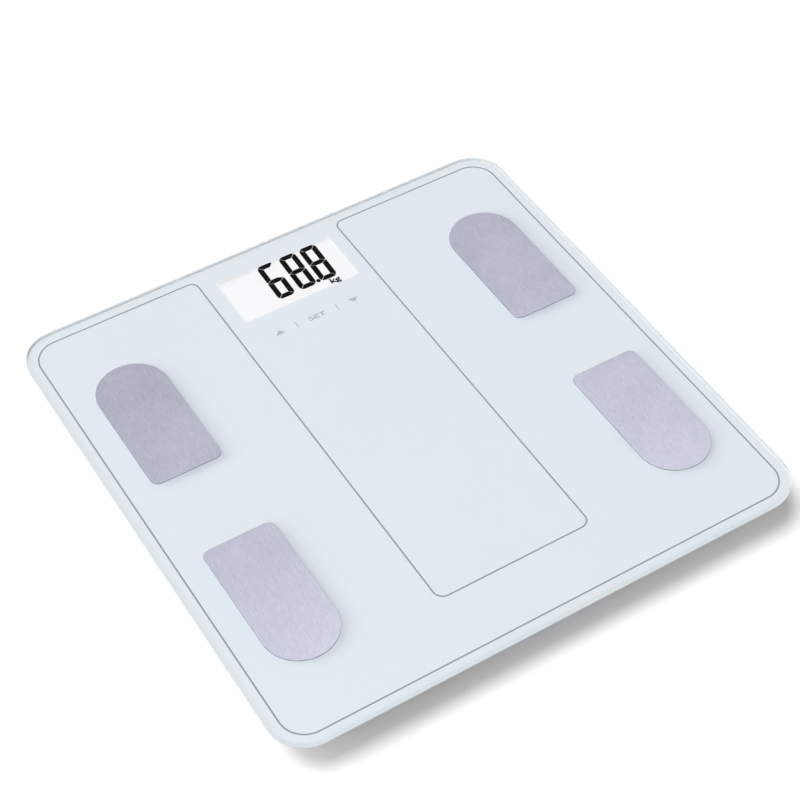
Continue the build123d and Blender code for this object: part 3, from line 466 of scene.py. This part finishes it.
def figureEight():  # seven strokes, parted by thin slits
    blank = figures["blank"] * mm  # half its thickness, and cutters reach twice as far
    corner, holeCorner = figures["corner"] * mm, figures["holeCorner"] * mm
    slitWide, notchWide = figures["slit"] * mm, figures["notch"] * mm
    eight = roundedSlab("figure", figureWide, figureHigh, corner, -blank, 2 * blank, steps=6)
    holeWide, holeHigh = figureWide - 2 * stroke, (figureHigh - 3 * stroke) / 2
    reach = figures["slitReach"] * stroke
    cuts = []
    for up in (-1, 1):
        holeAt = (0, up * (holeHigh + stroke) / 2)
        cuts.append(roundedSlab("hole", holeWide, holeHigh, holeCorner, -2 * blank, 4 * blank,
                                holeAt, steps=3))
    for right in (-1, 1):
        edge = right * (figureWide - stroke) / 2
        for up in (-1, 1):
            atCorner = (edge, up * (figureHigh - stroke) / 2), reach, figures["cornerLean"]
            byMiddle = (edge, up * stroke / 4), reach * figures["middleReach"], -figures["middleLean"]
            for place, length, lean in (atCorner, byMiddle):
                slit = flatSheet("slit", length, slitWide)
                bpy.ops.transform.rotate(value=radians(-lean * right * up), orient_axis="Z",
                                         center_override=(0, 0, 0))
                thicken(-2 * blank, 4 * blank, place)
                cuts.append(slit)
        notch = flatSheet("notch", notchWide, notchWide)
        bpy.ops.transform.rotate(value=radians(figures["notchTurn"]), orient_axis="Z",
                                 center_override=(0, 0, 0))
        thicken(-2 * blank, 4 * blank, (right * figureWide / 2, 0))
        cuts.append(notch)
    cutAway(eight, joined("figureCut", cuts))
    return eight


eight = figureEight()
figureParts = []
for place, column in enumerate(figures["columns"]):
    figure = copyOf(eight, "figure", (column * mm, 0, 0))
    if place == 0:  # a six: the upper right stroke is off
        bpy.ops.object.mode_set(mode="EDIT")
        offX, offY = column * mm + (figureWide - stroke) / 2, (figureHigh - stroke) / 4
        pick("FACE", lambda c: abs(c.x - offX) < stroke / 2 and abs(c.y - offY) < offY / 2)
        bpy.ops.mesh.select_linked()
        bpy.ops.mesh.delete(type="VERT")
        bpy.ops.object.mode_set(mode="OBJECT")
    figureParts.append(figure)
bpy.data.objects.remove(eight)
figureRow = joined("displayFigures", figureParts)
for vertex in figureRow.data.vertices:  # lean to the right, then flat on the panel
    vertex.co.x += figures["slant"] * vertex.co.y
    vertex.co.y += figures["y"] * mm
    vertex.co.z = figureLevel + (figureThick if vertex.co.z > 0 else 0)
clearPick()
bpy.ops.mesh.primitive_circle_add(vertices=ringSteps, radius=figures["pointRadius"] * mm,
                                  fill_type="NGON", location=(0, 0, 0))
pointDot = bpy.context.object
bpy.ops.object.mode_set(mode="EDIT")
thicken(figureLevel, figureThick, [v * mm for v in figures["pointAt"]])
unitWord = wordSlab("unitWord", figures["unit"], figures["unitSize"], figures["bold"],
                    figureLevel, figureThick, [v * mm for v in figures["unitAt"]])
figureRow = joined("displayFigures", [figureRow, pointDot, unitWord])
figureRow.data.materials.append(printedInk("figureInk", figures["colour"]))
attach(figureRow, "scale")
print("display figures", len(figureRow.data.polygons), "faces")


# finishes for the nodes that stay

displayPane = {"dim": shade(200, 196, 199), "bright": shade(204, 200, 203), "patch": 18,
               "far": shade(191, 188, 192), "farShadeFade": 5.0, "glow": 0.6}


def displayFace():  # white, lit from below
    finish = Finish("displayFace", Roughness=0.4, Emission_Strength=displayPane["glow"])
    tone = finish.noise(displayPane["patch"], 2)
    colour = finish.blend(tone, displayPane["dim"], displayPane["bright"])
    farEdge = displayHigh[1]
    far = finish.axes()[1].spread(farEdge - displayPane["farShadeFade"], farEdge)  # painted shade: darker towards the far edge, where the print sheet shades the panel
    colour = finish.blend(far, colour, displayPane["far"])
    return finish.feed(Base_Color=colour, Emission_Color=colour)


steelPlate = {"dark": shade(200, 203, 221), "light": shade(222, 225, 242), "paintedGlint": shade(245, 246, 253),
              "shearedEdgeShade": shade(172, 174, 186), "metal": 0.7, "rough": (0.36, 0.44), "edgeRough": 0.2,
              "fine": (0.16, 2, (1, 14, 1)), "strokes": (0.4, 2, (1, 9, 1)), "cloud": (30, 2),
              "fineShare": 0.3, "strokeShare": 0.45, "cloudShare": 0.25, "toneFrom": (0.3, 0.7),
              "glintNoise": (0.5, 1, (1, 11, 1)), "glintFrom": (0.6, 0.7), "glintShare": 0.22,
              "edgeFrom": (0.9, 0.4), "relief": (0.01, 0.35)}


def brushedSteel():  # short strokes along the plate, pale painted glints, and darker side walls that are partly a dull shear-cut edge and partly painted shade
    finish = Finish("brushedSteel", Metallic=steelPlate["metal"])
    fine, strokes, cloud = (finish.noise(*steelPlate[key]) for key in ("fine", "strokes", "cloud"))
    tone = (fine * steelPlate["fineShare"] + strokes * steelPlate["strokeShare"]
            + cloud * steelPlate["cloudShare"])
    # painted glints: pale flecks in the colour stand in for scratches catching the light
    paintedGlint = finish.noise(*steelPlate["glintNoise"]).spread(*steelPlate["glintFrom"])
    colour = finish.blend(tone.spread(*steelPlate["toneFrom"]), steelPlate["dark"], steelPlate["light"])
    colour = finish.blend(paintedGlint * steelPlate["glintShare"], colour, steelPlate["paintedGlint"])
    # side walls darker and rougher: a dull shear-cut edge, and painted shade for the thin contact shadow
    # along the plate's edge
    edge = finish.upward().spread(*steelPlate["edgeFrom"])
    rough = tone.spread(*steelPlate["toneFrom"], *steelPlate["rough"]) + edge * steelPlate["edgeRough"]
    return finish.feed(Base_Color=finish.blend(edge, colour, steelPlate["shearedEdgeShade"]), Roughness=rough,
                       Normal=finish.bump(fine, *steelPlate["relief"]))


plastic = {"cloud": 40, "cloudShare": 0.7, "grainShare": 0.3, "shadeDown": 0.93, "swing": 0.16,
           "relief": 0.6}


def moulding(name, colour, rough=0.5, pit=0.35, depth=0.03):  # moulded plastic with a fine spark grain
    finish = Finish(name)
    grain, cloud = finish.noise(pit, 2), finish.noise(plastic["cloud"], 3)
    tone = cloud * plastic["cloudShare"] + grain * plastic["grainShare"]
    ground = finish.blend(tone, toned(colour, plastic["shadeDown"]), colour)
    rough = rough - plastic["swing"] / 2 + grain * plastic["swing"]
    return finish.feed(Base_Color=ground, Roughness=rough,
                       Normal=finish.bump(grain, depth, plastic["relief"]))


rubber = {"grain": 0.5, "dust": 9, "dustFrom": (0.5, 0.75), "paler": 0.05, "rough": 0.72, "swing": 0.16,
          "relief": (0.04, 0.5)}


def softRubber(name, colour):
    finish = Finish(name, Specular_IOR_Level=0.35)
    grain, dust = finish.noise(rubber["grain"], 3), finish.noise(rubber["dust"], 3)
    ground = finish.blend(dust.spread(*rubber["dustFrom"]), colour, toned(colour, 1, rubber["paler"]))
    return finish.feed(Base_Color=ground, Roughness=rubber["rough"] + dust * rubber["swing"],
                       Normal=finish.bump(grain, *rubber["relief"]))


foam = {"rough": 0.85, "wallFrom": (0.1, 0.5), "shadeDown": 0.72, "relief": (0.1, 0.7)}


def foamedTape(name, colour, cell):
    finish = Finish(name, Roughness=foam["rough"])
    cells = finish.node("ShaderNodeTexVoronoi", {}, {"Vector": finish.place, "Scale": 1 / (cell * mm)},
                        "Distance")
    ground = finish.blend(cells.spread(*foam["wallFrom"]), toned(colour, foam["shadeDown"]), colour)
    return finish.feed(Base_Color=ground, Normal=finish.bump(cells, *foam["relief"]))


metal = {"fine": 0.3, "cloud": 7, "fineShare": 0.4, "cloudShare": 0.6, "shadeDown": 0.8, "swing": 0.14,
         "relief": (0.008, 0.4)}


def platedMetal(name, colour, rough, lay=(1, 1, 1)):  # punched or plated metal with handling marks
    finish = Finish(name, Metallic=1.0)
    fine, cloud = finish.noise(metal["fine"], 2, lay), finish.noise(metal["cloud"], 3)
    tone = fine * metal["fineShare"] + cloud * metal["cloudShare"]
    return finish.feed(Base_Color=finish.blend(tone, toned(colour, metal["shadeDown"]), colour),
                       Roughness=rough + cloud * metal["swing"],
                       Normal=finish.bump(fine, *metal["relief"]))


adhesive = {"dim": shade(176, 180, 186), "bright": shade(196, 200, 206), "patch": 2, "rough": 0.3}


def clearAdhesive():
    finish = Finish("clearAdhesive", Roughness=adhesive["rough"])
    colour = finish.blend(finish.noise(adhesive["patch"], 3), adhesive["dim"], adhesive["bright"])
    return finish.feed(Base_Color=colour)


sealant = {"dim": shade(222, 218, 206), "bright": shade(240, 237, 228), "lump": 2.2,
           "rough": 0.3, "swing": 0.2, "relief": (0.15, 0.8)}


def gaugeSealant():  # a dab of white silicone
    finish = Finish("gaugeSealant")
    lumps = finish.noise(sealant["lump"], 2)
    return finish.feed(Base_Color=finish.blend(lumps, sealant["dim"], sealant["bright"]),
                       Roughness=sealant["rough"] + lumps * sealant["swing"],
                       Normal=finish.bump(lumps, *sealant["relief"]))


sheath = {"grain": 0.8, "paler": (1.5, 0.01), "rough": 0.42, "swing": 0.15}


def leadSheath(name, colour):
    finish = Finish(name)
    grain = finish.noise(sheath["grain"], 2)
    return finish.feed(Base_Color=finish.blend(grain, colour, toned(colour, *sheath["paler"])),
                       Roughness=sheath["rough"] + grain * sheath["swing"])


cellSleeve = {"black": shade(52, 56, 64), "copper": shade(176, 112, 66), "copperFrom": (12.8, 13.0),
              "scuff": shade(140, 140, 140), "scuffSize": 3, "scuffFrom": (0.55, 0.8), "scuffShare": 0.3,
              "can": shade(190, 190, 188), "canFrom": 21.6, "canMetal": 0.7, "metal": 0.3,
              "rough": 0.28, "swing": 0.18}


def cellWrap():  # plain two-tone sleeve over a steel can
    finish = Finish("cellWrap")
    along = finish.axes()[0]
    can = abs(along).above(cellSleeve["canFrom"])
    scuff = finish.noise(cellSleeve["scuffSize"], 3)
    worn = scuff.spread(*cellSleeve["scuffFrom"]) * cellSleeve["scuffShare"]
    band = along.spread(*cellSleeve["copperFrom"])
    colour = finish.blend(band, cellSleeve["black"], cellSleeve["copper"])
    colour = finish.blend(worn, colour, cellSleeve["scuff"])
    colour = finish.blend(can, colour, cellSleeve["can"])
    return finish.feed(Base_Color=colour, Metallic=can * cellSleeve["canMetal"] + cellSleeve["metal"],
                       Roughness=cellSleeve["rough"] + scuff * cellSleeve["swing"])


zebra = {"dark": shade(60, 58, 66), "clear": shade(176, 166, 196), "pitch": 0.6,
         "clearFrom": (0.26, 0.34)}


def zebraStrip():  # alternate conducting and clear layers
    finish = Finish("zebraStrip", Roughness=0.6)
    band = (finish.axes()[0] % zebra["pitch"]).spread(*zebra["clearFrom"])
    return finish.feed(Base_Color=finish.blend(band, zebra["dark"], zebra["clear"]))


solderMask = {"bare": shade(18, 92, 52), "overCopper": shade(46, 128, 74), "cells": 260.0,
              "wall": (0.02, 0.05), "wallShare": 0.35, "pitch": 2.4, "laneIn": (0.8, 1.0),
              "laneOut": (1.5, 1.7), "run": (14, 1, (3, 1, 1)), "runFrom": 0.5, "coat": 0.3,
              "rough": 0.34, "cloud": 5, "swing": 0.12, "relief": (0.035, 0.8)}


def boardMask():  # green solder mask over copper runs
    finish = Finish("boardMask", Coat_Weight=solderMask["coat"])
    cell = finish.node("ShaderNodeTexVoronoi", {"distance": "CHEBYCHEV", "feature": "DISTANCE_TO_EDGE"},
                       {"Vector": finish.place, "Scale": solderMask["cells"]})
    across = finish.axes()[1] % solderMask["pitch"]
    lane = across.spread(*solderMask["laneIn"]) * (1 - across.spread(*solderMask["laneOut"]))
    run = lane * finish.noise(*solderMask["run"]).above(solderMask["runFrom"])
    copper = run + (1 - cell.spread(*solderMask["wall"])) * solderMask["wallShare"]
    colour = finish.blend(copper, solderMask["bare"], solderMask["overCopper"])
    rough = solderMask["rough"] + finish.noise(solderMask["cloud"], 2) * solderMask["swing"]
    return finish.feed(Base_Color=colour, Roughness=rough,
                       Normal=finish.bump(copper, *solderMask["relief"]))


guideSheet = {"dot": shade(252, 252, 252), "ground": shade(232, 236, 240), "dots": 900.0,
              "dotEdge": (0.25, 0.35)}


def lightGuide():  # milky sheet with an even dot pattern
    finish = Finish("lightGuide", Roughness=0.2)
    even = {"Vector": finish.place, "Scale": guideSheet["dots"], "Randomness": 0.0}
    dots = finish.node("ShaderNodeTexVoronoi", {}, even, "Distance")
    colour = finish.blend(dots.spread(*guideSheet["dotEdge"]), guideSheet["dot"], guideSheet["ground"])
    return finish.feed(Base_Color=colour)


trayColour, doorColour, footColour = shade(232, 234, 236), shade(228, 230, 233), shade(150, 153, 158)
dress(displayFace(), "lcd_panel")
dress(brushedSteel(), *everyCorner("electrode"))
dress(moulding("trayMoulding", trayColour), "base_tray")
dress(moulding("doorMoulding", doorColour, rough=0.46, pit=0.3), "battery_door", "door_latch")
dress(moulding("footMoulding", footColour, pit=0.3), "unit_button", *everyCorner("foot_cup"))
dress(softRubber("padRubber", shade(74, 76, 80)), *everyCorner("foot_pad"), *everyCorner("load_button"))
dress(platedMetal("punchedSteel", shade(196, 198, 200), rough=0.26, lay=(1, 12, 1)),
      *everyCorner("load_cell"))
dress(gaugeSealant(), *everyCorner("strain_gauge"))
dress(leadSheath("cellLead", shade(66, 66, 70)), *everyCorner("load_cell_lead"))
dress(leadSheath("electrodeLead", shade(150, 32, 30)), "electrode_leads")
dress(foamedTape("whiteFoamTape", shade(226, 227, 229), cell=0.5), "bonding_tape")
dress(foamedTape("touchFoam", shade(58, 58, 62), cell=0.7), "touch_pads")
dress(clearAdhesive(), "electrode_tapes")
dress(platedMetal("stampedBrass", shade(214, 184, 112), rough=0.24), "electrode_terminals")
dress(platedMetal("zincHardware", shade(200, 202, 206), rough=0.28), "electrode_nuts", "board_screws")
dress(platedMetal("nickelStrip", shade(216, 214, 208), rough=0.16), "battery_plates", "battery_springs")
dress(cellWrap(), "battery_cells")
dress(lightGuide(), "lcd_backlight")
dress(moulding("frameMoulding", shade(240, 240, 240), rough=0.48, pit=0.4, depth=0.015),
      "lcd_holder", "switch_plunger")
dress(zebraStrip(), "lcd_connector_strip")
dress(boardMask(), "main_board")
dress(moulding("chipEpoxy", shade(44, 44, 48), rough=0.55, pit=0.15, depth=0.01),
      "controller_chip", "weigh_chip", "unit_switch")
print("finishes on", len(frame["nodes"]), "nodes")


# floor, light and camera

studio = {"floorSize": 60, "floorDrop": 0.00005, "floorPatch": 400,  # the patch in mm, else metres
          "floorColours": (shade(251, 251, 251), shade(254, 254, 254)), "lampAt": (-1, 0, 1),
          "sky": 0.34, "skyColour": (1.0, 0.975, 0.965, 1), "paperColour": (1, 1, 1, 1),
          "key": {"power": 1.9, "turn": (-8, -18, 0), "spread": 36},
          "fill": {"power": 1.0, "turn": (-4, -42, 0), "spread": 60},
          "sheen": {"power": 0.45, "turn": (-17, 18, 0), "spread": 12}}
clearPick()
bpy.ops.mesh.primitive_plane_add(size=studio["floorSize"], location=(0, 0, -studio["floorDrop"]))
floor = bpy.context.object
floor.name = "floor"
floorFinish = Finish("floorPaper", Roughness=0.9, Specular_IOR_Level=0.1)
floorTone = floorFinish.blend(floorFinish.noise(studio["floorPatch"], 2), *studio["floorColours"])
floor.data.materials.append(floorFinish.feed(Base_Color=floorTone))

world = bpy.context.scene.world or bpy.data.worlds.new("studio")
bpy.context.scene.world = world
world.use_nodes = True
worldTree = world.node_tree
sky = worldTree.nodes["Background"]
sky.inputs["Color"].default_value = studio["skyColour"]
sky.inputs["Strength"].default_value = studio["sky"]
paper = worldTree.nodes.new("ShaderNodeBackground")  # white paper behind, which lights nothing
paper.inputs["Color"].default_value = studio["paperColour"]
behind = worldTree.nodes.new("ShaderNodeMixShader")
eye = worldTree.nodes.new("ShaderNodeLightPath")
worldTree.links.new(eye.outputs["Is Camera Ray"], behind.inputs[0])
worldTree.links.new(sky.outputs[0], behind.inputs[1])
worldTree.links.new(paper.outputs[0], behind.inputs[2])
worldTree.links.new(behind.outputs[0], worldTree.nodes["World Output"].inputs[0])
plates = everyCorner("electrode")


def lightGroup(name, state, *nodes):  # nodes that a lamp treats apart
    group = bpy.data.collections.new(name)
    for node in nodes:
        group.objects.link(frame["nodes"][node])
    for entry in group.collection_objects:
        entry.light_linking.link_state = state
    return group


for name in ("key", "fill", "sheen"):  # two broad lamps and a narrow one for the plates
    lampPlan = studio[name]
    lampTurn = [radians(v) for v in lampPlan["turn"]]
    bpy.ops.object.light_add(type="SUN", location=studio["lampAt"], rotation=lampTurn)
    lamp = bpy.context.object
    lamp.name = name + "Light"
    lamp.data.energy, lamp.data.angle = lampPlan["power"], radians(lampPlan["spread"])
    linking = lamp.light_linking
    if name == "sheen":
        linking.receiver_collection = lightGroup("sheenOnPlates", "INCLUDE", *plates)
    if name == "key":  # it passes the thin plates by
        linking.blocker_collection = lightGroup("keyPassesPlates", "EXCLUDE", "electrode_tapes", *plates)
        linking.receiver_collection = lightGroup("keyOffPlates", "EXCLUDE", *plates)

view = {"from": (-0.3574, -0.6030, 0.8278), "turn": (41.508, 0.582, -31.416),
        "lens": 92.33, "sensor": 36}
bpy.ops.object.camera_add(location=view["from"], rotation=[radians(v) for v in view["turn"]])
camera = bpy.context.object
camera.data.lens, camera.data.sensor_width = view["lens"], view["sensor"]
bpy.context.scene.camera = camera
bpy.context.scene.view_settings.view_transform = "Standard"  # plain screen colours
print("stage set")
